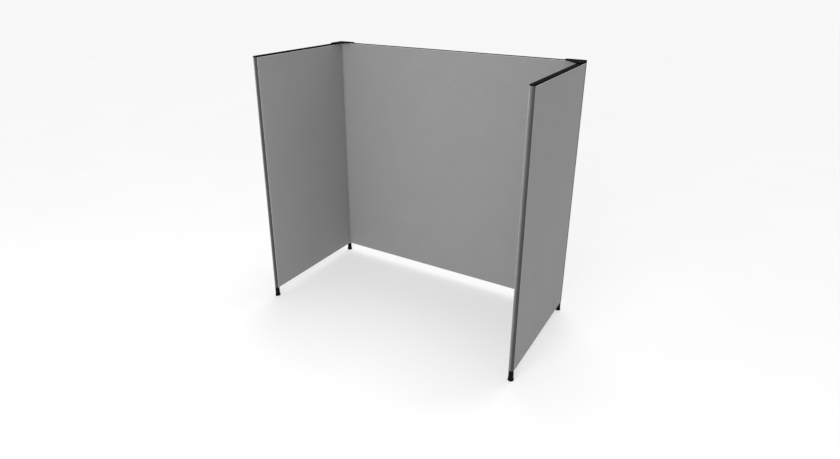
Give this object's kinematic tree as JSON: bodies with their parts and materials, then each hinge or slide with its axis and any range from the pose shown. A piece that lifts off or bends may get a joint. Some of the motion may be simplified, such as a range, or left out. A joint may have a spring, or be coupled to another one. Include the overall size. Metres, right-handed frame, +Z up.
{
  "type": "study carrel",
  "caption": "Free-standing U-shaped study carrel: a fabric back panel between two fabric wings, with corner plates on top and levelling feet.",
  "frame": {"origin": "on the floor, at the centre of the footprint", "axes": "+X to the sitter's right along the back panel, +Y towards the back panel, +Z up; the open front faces -Y"},
  "size_m": [1.5032, 0.7386, 1.4],
  "materials": {
    "core_board": "raw particle board",
    "pad_fabric": "plain woven panel cloth",
    "rail_metal": "mill finish",
    "edge_metal": "satin grey anodised",
    "cap_plastic": "black, slightly textured",
    "plate_metal": "black powder coat",
    "screw_steel": "black oxide",
    "plug_plastic": "moulded nylon",
    "anchor_metal": "as extruded",
    "stud_steel": "zinc plated",
    "foot_plastic": "black",
    "sole_rubber": "soft black"
  },
  "bodies": {
    "carrel": {"back_board": "core_board", "back_bottom_rail": "rail_metal", "back_inner_pad": "pad_fabric", "back_left_channel": "rail_metal", "back_outer_pad": "pad_fabric", "back_right_channel": "rail_metal", "back_top_inlay": "cap_plastic", "back_top_rail": "rail_metal", "left_anchor_blocks": "anchor_metal", "left_corner_cove": "edge_metal", "left_corner_plate": "plate_metal", "left_corner_post": "edge_metal", "left_corner_screws": "screw_steel", "left_front_foot_plug": "plug_plastic", "left_post_top_plug": "plug_plastic", "left_rear_foot_plug": "plug_plastic", "left_wing_board": "core_board", "left_wing_bottom_rail": "rail_metal", "left_wing_front_edge": "edge_metal", "left_wing_inner_pad": "pad_fabric", "left_wing_outer_pad": "pad_fabric", "left_wing_rear_channel": "rail_metal", "left_wing_top_cap": "cap_plastic", "left_wing_top_rail": "rail_metal", "right_anchor_blocks": "anchor_metal", "right_corner_cove": "edge_metal", "right_corner_plate": "plate_metal", "right_corner_post": "edge_metal", "right_corner_screws": "screw_steel", "right_front_foot_plug": "plug_plastic", "right_post_top_plug": "plug_plastic", "right_rear_foot_plug": "plug_plastic", "right_wing_board": "core_board", "right_wing_bottom_rail": "rail_metal", "right_wing_front_edge": "edge_metal", "right_wing_inner_pad": "pad_fabric", "right_wing_outer_pad": "pad_fabric", "right_wing_rear_channel": "rail_metal", "right_wing_top_cap": "cap_plastic", "right_wing_top_rail": "rail_metal"},
    "left_front_foot": {"left_front_foot_base": "foot_plastic", "left_front_foot_sole": "sole_rubber"},
    "left_front_foot_screw": {"left_front_foot_stem": "foot_plastic", "left_front_foot_stud": "stud_steel"},
    "left_rear_foot": {"left_rear_foot_base": "foot_plastic", "left_rear_foot_sole": "sole_rubber"},
    "left_rear_foot_screw": {"left_rear_foot_stem": "foot_plastic", "left_rear_foot_stud": "stud_steel"},
    "right_front_foot": {"right_front_foot_base": "foot_plastic", "right_front_foot_sole": "sole_rubber"},
    "right_front_foot_screw": {"right_front_foot_stem": "foot_plastic", "right_front_foot_stud": "stud_steel"},
    "right_rear_foot": {"right_rear_foot_base": "foot_plastic", "right_rear_foot_sole": "sole_rubber"},
    "right_rear_foot_screw": {"right_rear_foot_stem": "foot_plastic", "right_rear_foot_stud": "stud_steel"}
  },
  "joints": [
    {"name": "left_front_foot_height", "type": "slide", "parent": "carrel", "child": "left_front_foot", "axis": [0, 0, -1], "range_m": [0, 0.015]},
    {"name": "left_front_foot_turn", "type": "hinge", "parent": "left_front_foot", "child": "left_front_foot_screw", "pos_m": [-0.737, -0.3547, 0.03], "axis": [0, 0, -1], "range_deg": [0, 3601]},
    {"name": "left_rear_foot_height", "type": "slide", "parent": "carrel", "child": "left_rear_foot", "axis": [0, 0, -1], "range_m": [0, 0.015]},
    {"name": "left_rear_foot_turn", "type": "hinge", "parent": "left_rear_foot", "child": "left_rear_foot_screw", "pos_m": [-0.737, 0.3523, 0.03], "axis": [0, 0, -1], "range_deg": [0, 3601]},
    {"name": "right_front_foot_height", "type": "slide", "parent": "carrel", "child": "right_front_foot", "axis": [0, 0, -1], "range_m": [0, 0.015]},
    {"name": "right_front_foot_turn", "type": "hinge", "parent": "right_front_foot", "child": "right_front_foot_screw", "pos_m": [0.737, -0.3547, 0.03], "axis": [0, 0, -1], "range_deg": [0, 3601]},
    {"name": "right_rear_foot_height", "type": "slide", "parent": "carrel", "child": "right_rear_foot", "axis": [0, 0, -1], "range_m": [0, 0.015]},
    {"name": "right_rear_foot_turn", "type": "hinge", "parent": "right_rear_foot", "child": "right_rear_foot_screw", "pos_m": [0.737, 0.3523, 0.03], "axis": [0, 0, -1], "range_deg": [0, 3601]}
  ],
  "couplings": [
    {"joint": "left_front_foot_turn", "follows": "left_front_foot_height", "rad_per_m": 4188.8},
    {"joint": "left_rear_foot_turn", "follows": "left_rear_foot_height", "rad_per_m": 4188.8},
    {"joint": "right_front_foot_turn", "follows": "right_front_foot_height", "rad_per_m": 4188.8},
    {"joint": "right_rear_foot_turn", "follows": "right_rear_foot_height", "rad_per_m": 4188.8}
  ]
}
